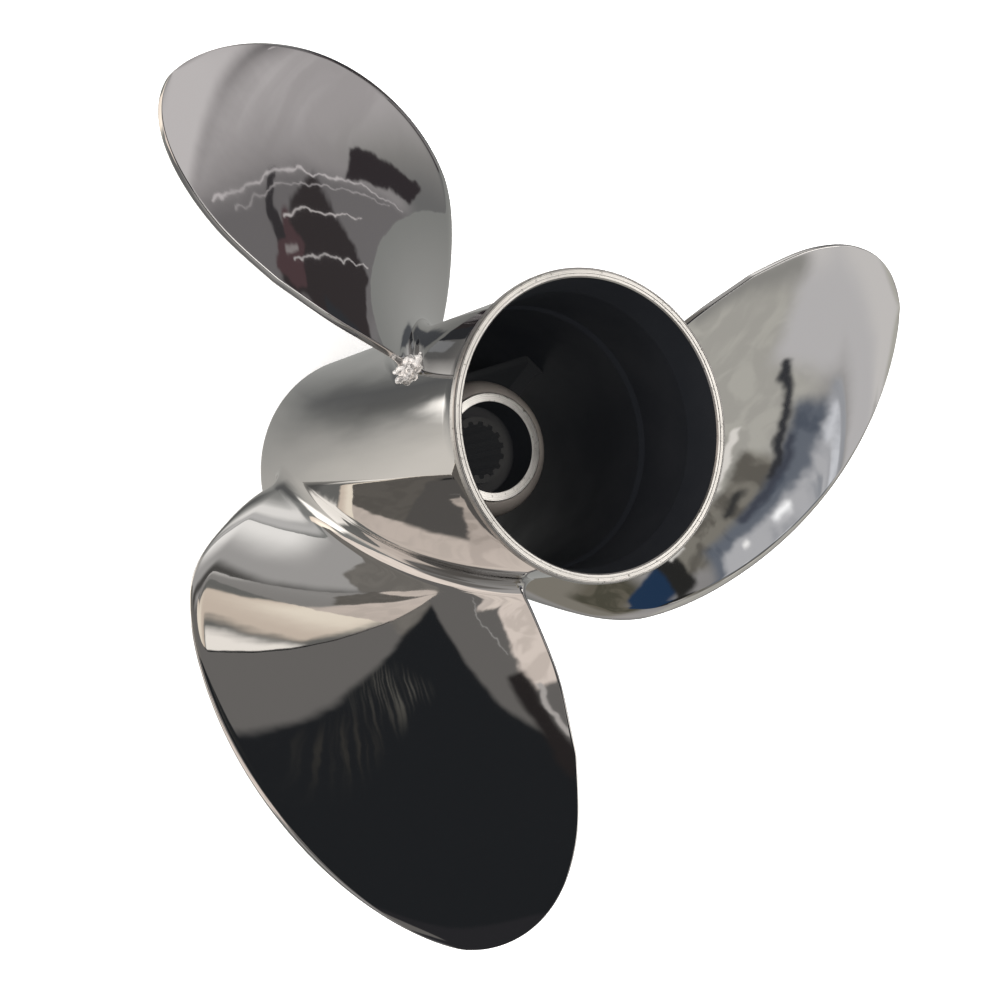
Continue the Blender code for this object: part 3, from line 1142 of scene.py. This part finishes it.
    def skin(self) -> Mesh:
        """Return the closed skin of a blade whose tip lies at +X.

        Returns:
            The mesh.
        """
        rows = [self.row_points(0.0, self.fillet, self.sink)]
        rows += [self.row_points(height, reach) for height, reach in self.rows()]
        size = len(rows[0])
        faces = []
        for k in range(len(rows) - 1):
            low, high = k * size, (k + 1) * size
            faces += [(low + i, low + (i + 1) % size, high + (i + 1) % size, high + i) for i in range(size)]
        for start, flip in ((0, 1), ((len(rows) - 1) * size, -1)):
            for i in range(size // 2):
                quad = [start + i, start + (-i) % size, start + (-i - 1) % size, start + i + 1]
                unique = [v for j, v in enumerate(quad) if v not in quad[:j]]
                if len(unique) > 2:
                    faces.append(tuple(unique[::flip]))
        mesh = mesh_of("blade", np.concatenate(rows), faces)
        mesh.shade_smooth()
        mesh.set_sharp_from_angle(angle=self.sharp_angle)
        return mesh

    def build(self, steel: Material) -> None:
        """Build the three blades.

        Args:
            steel: the polished steel.
        """
        skin = self.skin()
        for i in range(BLADE_COUNT):
            mesh = skin.copy()
            mesh.transform(Matrix.Rotation(math.tau * i / BLADE_COUNT, 4, "Z"))
            mesh.materials.append(steel)
            finished(added(f"blade_skin_{i + 1}", mesh), Slot.POLISHED, f"blade_{i + 1}")
        bpy.data.meshes.remove(skin)


@dataclass
class RootWeld:
    """The weld metal heaped where the first blade's trailing edge meets the barrel."""

    blade: Blade
    rows: tuple[int, ...] = (3, 9)
    reach: int = 4
    lumps: int = 10
    size: float = 0.0024
    spread: float = 0.0010

    def path(self) -> Mesh:
        """Return the lines that the lumps follow around the foot of the trailing edge.

        Returns:
            A mesh of loose lines.
        """
        edge = self.blade.chord_steps + self.blade.corner_steps
        heights = self.blade.rows()
        points, lines = [], []
        for row in self.rows:
            line = self.blade.row_points(*heights[row])[edge - self.reach:edge + self.reach + 2]
            lines += [(len(points) + i, len(points) + i + 1) for i in range(len(line) - 1)]
            points += list(line)
        return mesh_of("weld_path", points, edges=lines)

    def build(self, metal: Material) -> None:
        """Build the weld.

        Args:
            metal: the weld metal.
        """
        baked("root_weld", self.path(), Trees.weld_lumps(), {
            "Count": self.lumps, "Size": self.size, "Spread": self.spread, "Material": metal},
            Slot.POLISHED)


# Studio


@dataclass(frozen=True)
class Sheet:
    """A soft patch on the floor, seen only in the steel: painted light where it is bright, painted shadow
    where it is dark.

    It has a middle, half sizes and a turn in degrees.
    """

    name: str
    x: float
    y: float
    width: float
    height: float
    color: Color
    softness: float = 0.02
    turn: float = 0.0

    def axes(self) -> tuple[Vector, Vector]:
        """Return the patch's two directions on the floor."""
        side = Vector((math.cos(math.radians(self.turn)), math.sin(math.radians(self.turn)), 0.0))
        return side, Vector((-side.y, side.x, 0.0))


@dataclass(frozen=True)
class Panel:
    """A plain lit or dark panel of the studio, far away, given by angles in degrees.

    Its edges may be jagged, folds of a second colour may break its tone, and a brushed panel
    shows only as strokes.
    """

    name: str
    azimuth: float
    elevation: float
    width: float
    height: float
    color: Color
    softness: float = 2.0
    tilt: float = 0.0
    jagged: bool = False
    folds: Color | None = None
    brushed: bool = False

    def axes(self) -> tuple[Vector, Vector, Vector]:
        """Return the panel's own directions: towards it, across it and up it.

        Returns:
            Three unit vectors.
        """
        azimuth, elevation, tilt = (math.radians(a) for a in (self.azimuth, self.elevation, self.tilt))
        flat = Vector((math.cos(azimuth), math.sin(azimuth), 0.0))
        towards = flat * math.cos(elevation) + Vector((0.0, 0.0, math.sin(elevation)))
        across = Vector((-flat.y, flat.x, 0.0))
        up = towards.cross(across)
        return (towards, across * math.cos(tilt) + up * math.sin(tilt),
                up * math.cos(tilt) - across * math.sin(tilt))


@dataclass(frozen=True)
class Lamp:
    """A soft light that points at the propeller, mirrored in the steel or not."""

    name: str
    place: tuple[float, float, float]
    size: float
    power: float
    color: Color
    mirrored: bool = False

    def hang(self) -> None:
        """Hang the light in the scene."""
        data = bpy.data.lights.new(self.name, "AREA")
        data.size = self.size
        data.energy = self.power
        data.color = self.color
        lamp = added(self.name, data)
        lamp.location = self.place
        lamp.rotation_euler = Vector(self.place).to_track_quat("Z", "Y").to_euler()
        lamp.visible_glossy = self.mirrored


@dataclass
class Studio:
    """The floor, the soft lights and the camera."""

    table_radius: float = 0.45
    floor_radius: float = 6.0
    floor_steps: int = 96
    floor_color: Color = (0.86, 0.86, 0.86)
    floor_glow: float = 0.50
    mirrored_floor_shade: Color = (0.30, 0.305, 0.295)
    table_end: float = -0.290
    end_softness: float = 0.004
    floor_sway: float = 0.010
    floor_sway_scale: float = 45.0
    camera_place: tuple[float, float, float] = (0.22459, 0.30285, 0.69122)
    camera_right: tuple[float, float, float] = (-0.67792, -0.55326, 0.48407)
    camera_up: tuple[float, float, float] = (0.67537, -0.72879, 0.11287)
    lens: float = 75.27
    sensor: float = 36.0
    shift: float = -0.07
    haze: Color = (0.70, 0.70, 0.70)
    sway: float = math.radians(1.5)
    sway_scale: float = 4.0
    flutter: float = math.radians(1.1)
    flutter_scale: float = 20.0
    fold_scale: float = 7.0
    fold_range: Point = (0.42, 0.60)
    brush_scale: float = 105.0
    brush_length: float = 0.06
    brush_range: Point = (0.46, 0.70)
    sky: tuple[tuple[float, Color], ...] = (
        (-90.0, (0.10, 0.10, 0.10)), (-12.0, (0.20, 0.20, 0.20)), (0.0, (0.36, 0.35, 0.34)),
        (8.0, (0.42, 0.41, 0.40)), (20.0, (0.50, 0.48, 0.47)), (38.0, (0.42, 0.41, 0.41)),
        (55.0, (0.12, 0.12, 0.13)), (66.0, (0.03, 0.03, 0.034)), (90.0, (0.03, 0.03, 0.034)))
    # Over the mirrored floor's painted shade: pools of painted light, and painted shadows under the
    # propeller.
    sheets: tuple[Sheet, ...] = (
        Sheet("middle_glow", -0.03, -0.05, 0.12, 0.12, (0.38, 0.38, 0.365), 0.12),
        Sheet("right_glow", 0.20, -0.20, 0.09, 0.07, (0.70, 0.69, 0.68), 0.06),
        Sheet("blade_glow", 0.122, -0.105, 0.045, 0.050, (1.10, 1.08, 1.05), 0.035),
        Sheet("left_glow", 0.075, 0.135, 0.09, 0.08, (0.88, 0.84, 0.78), 0.055, 15.0),
        # Painted shadows on the floor: near the hub, under the first blade, under the weld and under a blade
        # root.
        Sheet("painted_near_shade", 0.105, 0.012, 0.035, 0.022, (0.16, 0.16, 0.155), 0.025, 8.0),
        Sheet("painted_shadow_under_blade", 0.10, -0.002, 0.045, 0.012, (0.12, 0.122, 0.124), 0.022, 2.0),
        Sheet("painted_shadow_under_weld", 0.038, -0.068, 0.018, 0.010, (0.05, 0.055, 0.065), 0.008),
        Sheet("painted_shadow_under_root", 0.045, -0.195, 0.036, 0.055, (0.095, 0.10, 0.11), 0.012),
        # Painted pools of light on the floor.
        Sheet("painted_white_light", 0.185, 0.087, 0.064, 0.055, (2.00, 1.93, 1.83), 0.014),
        Sheet("painted_warm_light", 0.40, -0.02, 0.135, 0.11, (1.35, 1.17, 1.00), 0.012),
        Sheet("warm_glow", 0.46, 0.00, 0.13, 0.10, (1.80, 1.65, 1.42), 0.05),
    )
    panels: tuple[Panel, ...] = (
        Panel("back_wall", -110, 17, 34, 17, (0.58, 0.555, 0.56), 5.0, folds=(0.51, 0.485, 0.49)),
        Panel("back_glow", -102, 22, 15, 10, (0.78, 0.75, 0.755), 6.0),
        Panel("back_dim", -108, -4.5, 19, 10.5, (0.38, 0.36, 0.365), 2.5, 54.0),
        Panel("back_shade", -108, -7, 19, 9.4, (0.21, 0.20, 0.205), 1.5, 54.0),
        Panel("back_dark", -107.5, -9, 6.0, 10.0, (0.05, 0.043, 0.045), 0.5, 8.0, True),
        Panel("back_box", -106.2, -0.4, 2.6, 2.6, (0.105, 0.066, 0.072), 0.3, 12.0, True),
        Panel("root_dark", -98, -16, 6.0, 9.0, (0.045, 0.048, 0.055), 0.6, 0.0, True),
        Panel("root_grey", -86.5, -17, 4.2, 4.6, (0.36, 0.37, 0.385), 0.8, -12.0, True),
        Panel("back_crate", -124, -7, 6.5, 2.1, (0.045, 0.038, 0.042), 0.3, 39.0, True),
        Panel("back_post", -108.7, 3.4, 2.8, 0.7, (0.05, 0.046, 0.05), 0.2, -39.0, True),
        Panel("rail_high", -115.5, -1.5, 17, 0.10, (0.75, 0.71, 0.72), 0.08, 54.0, True),
        Panel("rail_double", -114.6, -2.3, 14, 0.08, (0.55, 0.52, 0.53), 0.08, 54.0, True),
        Panel("rail_middle", -113, -5.3, 8, 0.10, (0.7, 0.66, 0.66), 0.08, 57.0, True),
        Panel("rail_low", -109.5, -10, 9.5, 0.10, (0.65, 0.62, 0.62), 0.08, 67.0, True),
        Panel("box_patch", -106.6, -0.6, 1.7, 0.35, (0.34, 0.31, 0.31), 0.25, 60.0, True),
        Panel("left_wall", -40, -8, 34, 24, (0.50, 0.49, 0.48), 3.0),
        Panel("left_window", -57, -7, 11, 8, (1.20, 1.18, 1.15), 6.0),
        Panel("left_shelf", -38, 14, 26, 2.6, (0.10, 0.096, 0.092), 2.0),
        Panel("left_upper", -36, 29, 24, 11, (0.20, 0.192, 0.185), 2.0, -20.0),
        Panel("warm_screen", 12, -15, 22, 59.5, (1.22, 1.08, 0.98), 1.5, -16.0, folds=(1.10, 0.98, 0.89)),
        Panel("near_shade", -4, 14, 27, 15.9, (0.25, 0.235, 0.215), 0.6, 42.5, True, (0.22, 0.207, 0.19)),
        Panel("near_dark", -4, 17, 5, 1.6, (0.09, 0.085, 0.085), 1.2, 8.0),
        Panel("ceiling_dark", -24, 60, 44, 22.1, (0.020, 0.022, 0.025), 1.0, -43.25),
        Panel("right_grey", 22, 38, 15.8, 34, (0.19, 0.182, 0.175), 0.6, -37.75),
        Panel("warm_low", 28, -6, 30, 20, (1.22, 1.08, 0.98), 0.8, 39.75, folds=(1.10, 0.98, 0.89)),
        Panel("right_line", 4.4, 27.5, 9, 0.12, (0.42, 0.41, 0.40), 0.1, 68.0, True),
        Panel("warm_card", 22, 31, 10.8, 12.8, (1.02, 0.90, 0.82), 0.5, -12.0, True, (0.84, 0.74, 0.67)),
        Panel("warm_corner", 10, 21.5, 6.5, 2.4, (1.05, 0.93, 0.84), 0.5, 8.0, True, (0.80, 0.71, 0.65)),
        Panel("dark_wedge", 10.0, 50, 1.5, 9.5, (0.03, 0.026, 0.026), 0.7, -6.0),
        Panel("edge_line", 13.4, 50, 0.5, 6, (0.60, 0.57, 0.55), 0.3, -10.0, True),
        Panel("brushed_top", -21.5, 36.5, 4.2, 5.0, (0.16, 0.155, 0.138), 2.5, -36.0, brushed=True),
        Panel("brushed_low", -28, 41.5, 6, 3.5, (0.050, 0.048, 0.044), 2.5, -36.0, brushed=True),
        Panel("flare_side", 66, 5, 12, 10, (0.20, 0.19, 0.18), 4.0),
        Panel("side_wall", 172, 24, 34, 15.5, (0.62, 0.61, 0.56), 3.0, folds=(0.54, 0.53, 0.49)),
        Panel("side_end", 103, 21, 14, 13, (0.30, 0.28, 0.24), 4.0),
        Panel("side_olive", 106, 31.5, 9, 6, (0.105, 0.10, 0.075), 2.5, folds=(0.18, 0.165, 0.13)),
        Panel("side_haze", -172, 37, 14, 5, (0.70, 0.69, 0.70), 2.0),
        Panel("side_bright", -166, 33, 8, 4, (0.82, 0.80, 0.79), 2.5),
        Panel("side_column", -175, 22, 1.6, 11, (0.38, 0.375, 0.355), 1.6),
        Panel("cloth_grey", 140, 38.0, 12, 3.4, (0.30, 0.285, 0.25), 1.0, -2.0, True, (0.17, 0.16, 0.14)),
        Panel("cloth_blue", 149.5, 43.6, 13, 4.1, (0.19, 0.215, 0.26), 1.1, -5.0, folds=(0.11, 0.13, 0.17)),
        Panel("cloth_light", 152.5, 43.9, 13, 1.5, (0.64, 0.65, 0.68), 0.7, -4.0, True, (0.40, 0.42, 0.46)),
        Panel("cloth_white", 152, 31.6, 6, 0.9, (1.05, 1.02, 0.97), 0.5, -14.0, True),
        Panel("cloth_fold", 162, 36.8, 8.5, 0.7, (0.05, 0.052, 0.06), 0.5, -22.0, True),
        Panel("cloth_crease", 151, 40.2, 7, 0.5, (0.08, 0.09, 0.12), 0.5, -5.0, True),
        Panel("cloth_spot", 144, 37.5, 2.8, 0.8, (0.06, 0.06, 0.06), 0.7, -10.0, True),
        Panel("cloth_shine", 148.3, 43.4, 1.6, 0.35, (1.60, 1.62, 1.65), 0.45, -1.0),
        Panel("cloth_gleam", 164.5, 42.0, 1.8, 0.26, (1.00, 1.03, 1.10), 0.6, -12.0),
        Panel("cloth_glint", 139.8, 43.2, 0.5, 0.3, (1.40, 1.40, 1.40), 0.3),
        Panel("cloth_navy", 118.5, 38.4, 5.8, 3.0, (0.022, 0.052, 0.115), 0.5, -4.0),
        Panel("cloth_black", 125.2, 38.6, 2.0, 3.4, (0.030, 0.030, 0.029), 0.5),
        Panel("cloth_pale", 128.4, 36.2, 1.9, 0.7, (0.90, 0.88, 0.84), 0.3),
    )
    lamps: tuple[Lamp, ...] = (
        Lamp("key_light", (0.15, 0.30, 1.7), 1.4, 45.0, (1.0, 0.98, 0.95)),
        Lamp("fill_light", (-0.9, -0.6, 1.3), 1.4, 6.0, (0.96, 0.98, 1.0)),
        Lamp("side_light", (0.75, 0.25, 0.45), 0.3, 3.0, (1.0, 0.93, 0.86)),
        Lamp("seat_light", (-0.42, -0.56, 1.32), 0.7, 2.6, (1.0, 0.97, 0.92), mirrored=True),
        Lamp("rim_light", (-0.60, -0.78, 1.16), 0.6, 1.4, (1.0, 0.97, 0.92), mirrored=True),
    )

    def disc(self, name: str, inner: float, outer: float, material: Material) -> Object:
        """Lay one round piece of the floor under the barrel's front face.

        Args:
            name: the piece's name.
            inner: its inner radius, or 0 for a full disc.
            outer: its outer radius.
            material: its material.

        Returns:
            The object.
        """
        steps = self.floor_steps
        angles = np.linspace(0, math.tau, steps, endpoint=False)
        points = [(r * math.cos(a), r * math.sin(a), FRONT) for r in (inner, outer) if r > 0 for a in angles]
        ring = [(i, steps + i, steps + (i + 1) % steps, (i + 1) % steps) for i in range(steps)]
        piece = added(name, mesh_of(name, points, ring if inner > 0 else [range(steps)]))
        piece.data.materials.append(material)
        return piece

    def floor(self) -> None:
        """Lay the plain pale floor; the steel mirrors only a table's worth of it, glowing in softer tones of
        painted shade, light and shadow.
        """
        material, wiring, shader = Finish("floor_pale", self.floor_color, 0.8, 0.0, self.floor_glow).start()
        shader.inputs["Emission Color"].default_value = (*self.floor_color, 1.0)
        place = self.swayed(wiring, wiring.place(), ((self.floor_sway_scale, self.floor_sway),))
        # What the steel sees of the floor glows: painted shade as its base, with the sheets of painted light
        # and shadow over it.
        color: Any = self.mirrored_floor_shade
        for sheet in self.sheets:
            offset = wiring.vector("SUBTRACT", place, (sheet.x, sheet.y, FRONT))
            across, up = (wiring.vector("DOT_PRODUCT", offset, axis) for axis in sheet.axes())
            mask = wiring.group(Effects.soft_box(), {
                "Across": across, "Up": up, "Half Width": sheet.width, "Half Height": sheet.height,
                "Softness": sheet.softness}, sheet.name).outputs["Mask"]
            color = wiring.blend(mask, color, sheet.color)
        edges = (self.table_end - self.end_softness, self.table_end + self.end_softness)
        seen = wiring.shade("MixShader", {
            0: wiring.ramp(wiring.part(place, "Y"), *edges), 1: wiring.shade("BsdfTransparent"),
            2: wiring.shade("Emission", {"Color": color})})
        chosen = wiring.shade("MixShader", {0: self.glossy(wiring), 1: shader.outputs[0], 2: seen})
        wiring.put(wiring.tree.nodes["Material Output"], {"Surface": chosen})
        self.disc("floor_middle", 0.0, self.table_radius, material)
        self.disc("floor_around", self.table_radius, self.floor_radius, material).visible_glossy = False

    def camera(self) -> None:
        """Set the camera at the photograph's viewing angle."""
        right, up = Vector(self.camera_right), Vector(self.camera_up)
        data = bpy.data.cameras.new("camera")
        data.lens = self.lens
        data.sensor_width = self.sensor
        data.shift_y = self.shift
        camera = added("camera", data)
        camera.matrix_world = Matrix((right, up, right.cross(up))).transposed().to_4x4()
        camera.location = self.camera_place
        bpy.context.scene.camera = camera

    @staticmethod
    def glossy(wiring: Wiring) -> NodeSocket:
        """Return whether the steel mirrors what is shaded, and not the camera seeing it."""
        return wiring.node("ShaderNodeLightPath").outputs["Is Glossy Ray"]

    @staticmethod
    def swayed(wiring: Wiring, direction: NodeSocket, waves: Sequence[Point]) -> NodeSocket:
        """Return a direction or place shifted by noises, given as their scales and amounts.

        Args:
            wiring: the tree's wiring.
            direction: the direction or place.
            waves: the noises' scales and amounts.

        Returns:
            The shifted direction or place.
        """
        bent = direction
        for scale, amount in waves:
            noise = wiring.node("ShaderNodeTexNoise", {"Vector": direction, "Scale": scale, "Detail": 2.0})
            shift = wiring.vector("SUBTRACT", noise.outputs["Color"], (0.5, 0.5, 0.5))
            bent = wiring.vector("MULTIPLY_ADD", shift, (2 * amount,) * 3, bent)
        return bent

    def strokes(self, wiring: Wiring, direction: NodeSocket, elevation: NodeSocket) -> NodeSocket:
        """Return upright brush strokes around the studio, from 0 to 1.

        Args:
            wiring: the tree's wiring.
            direction: the direction that is seen.
            elevation: its elevation in degrees.

        Returns:
            The strokes.
        """
        azimuth = wiring.math("ARCTAN2", *(wiring.part(direction, axis) for axis in "YX"))
        stretched = wiring.shade("CombineXYZ", {
            "X": wiring.math("MULTIPLY", azimuth, self.brush_scale),
            "Y": wiring.math("MULTIPLY", elevation, self.brush_length)})
        return wiring.ramp(wiring.noise(stretched, 1.0, Detail=1.0), *self.brush_range)

    def world(self) -> None:
        """Surround the stage with plain soft light, in which the steel mirrors the studio's panels."""
        world = bpy.data.worlds.new("studio")
        world.use_nodes = True
        bpy.context.scene.world = world
        wiring = Wiring(world.node_tree)
        direction = wiring.node("ShaderNodeTexCoord").outputs["Generated"]
        waves = ((self.sway_scale, self.sway), (self.flutter_scale, self.flutter))
        plain_edges, jagged_edges = (
            wiring.vector("NORMALIZE", self.swayed(wiring, direction, waves[:count])) for count in (1, 2))
        height = wiring.part(plain_edges, "Z")
        elevation = wiring.math("MULTIPLY", wiring.math("ARCSINE", height), 180 / math.pi)
        color: Any = self.sky[0][1]
        for (low, _), (high, tone) in zip(self.sky, self.sky[1:]):
            color = wiring.blend(wiring.ramp(elevation, low, high), color, tone)
        cloud = wiring.noise(direction, self.fold_scale, Detail=3.0, Distortion=1.6)
        folds = wiring.ramp(cloud, *self.fold_range)
        brush = self.strokes(wiring, plain_edges, elevation)
        for panel in self.panels:
            seen = jagged_edges if panel.jagged else plain_edges
            towards, across, up = (wiring.vector("DOT_PRODUCT", seen, axis) for axis in panel.axes())
            mask = wiring.group(Effects.soft_box(), {
                "Across": wiring.math("ARCTAN2", across, towards), "Up": wiring.math("ARCTAN2", up, towards),
                "Half Width": math.radians(panel.width), "Half Height": math.radians(panel.height),
                "Softness": math.radians(panel.softness)}, panel.name).outputs["Mask"]
            tone: Any = wiring.blend(folds, panel.color, panel.folds) if panel.folds else panel.color
            color = wiring.blend(wiring.math("MULTIPLY", mask, brush) if panel.brushed else mask, color, tone)
        plain = world.node_tree.nodes["Background"]
        plain.inputs["Color"].default_value = (*self.haze, 1.0)
        mirrored = wiring.shade("Background", {"Color": color})
        chosen = wiring.shade("MixShader", {0: self.glossy(wiring), 1: plain.outputs[0], 2: mirrored})
        wiring.put(world.node_tree.nodes["World Output"], {"Surface": chosen})

    def build(self) -> None:
        """Build the stage."""
        bpy.context.scene.view_settings.view_transform = "Standard"
        self.floor()
        self.camera()
        self.world()
        for lamp in self.lamps:
            lamp.hang()


def main() -> None:
    """Build every piece in order."""
    logging.basicConfig(level=logging.INFO, format="%(name)s %(message)s")
    mirror = MirrorSteel("mirror_steel", (0.62, 0.61, 0.60), 0.03).material()
    # The nut seat's machined steel is a lighter copy of the aft face's: painted light on the seat.
    machined = MachinedSteel("machined_steel", (0.80, 0.78, 0.75), 0.3).material()
    aft_face = MachinedSteel("aft_face_steel", (0.62, 0.60, 0.575), 0.33).material()
    cast, inside_shade, shaded, rubber = (
        CastSteel(name, color, roughness, metallic, glow, cloud).material()
        for name, color, roughness, metallic, glow, cloud in (
            # The cast steel's dark tone is in part painted shade, for the shoulder deep in the barrel.
            ("cast_steel", (0.130, 0.117, 0.106), 0.5, 0.3, 0.0, (0.095, 0.085, 0.078)),
            # The inside's steel is near black as painted shade inside the barrel.
            ("inside_shade_steel", (0.015, 0.0165, 0.020), 0.5, 0.1, 0.0, (0.012, 0.0135, 0.017)),
            # The ribs' steel is near black as painted shade, with a faint glow of painted light.
            ("shaded_steel", (0.004, 0.004, 0.004), 0.7, 0.0, 0.0075, (0.003, 0.003, 0.003)),
            # The rubber's faint glow is painted light in the dark bore.
            ("bush_rubber", (0.018, 0.017, 0.016), 0.7, 0.0, 0.009, (0.014, 0.013, 0.013))))
    # The sleeve's brass is near black as painted shade, with a faint glow of painted light.
    brass = MachinedSteel("sleeve_brass", (0.014, 0.013, 0.012), 0.7, 0.0, 0.010,
                          pit_color=(0.01, 0.01, 0.01)).material()
    weld = WeldSteel("weld_steel", (0.85, 0.82, 0.80), 0.25, 0.5).material()
    barrel = Barrel()
    blade = Blade(barrel)
    barrel.build(mirror, inside_shade)
    DiffuserRing(barrel).build(mirror, inside_shade, aft_face)
    InnerHub().build(cast, inside_shade, machined)
    Ribs(barrel).build(shaded)
    Bush().build(rubber)
    DriveSleeve().build(brass)
    blade.build(mirror)
    RootWeld(blade).build(weld)
    Studio().build()


if __name__ == "__main__":
    main()
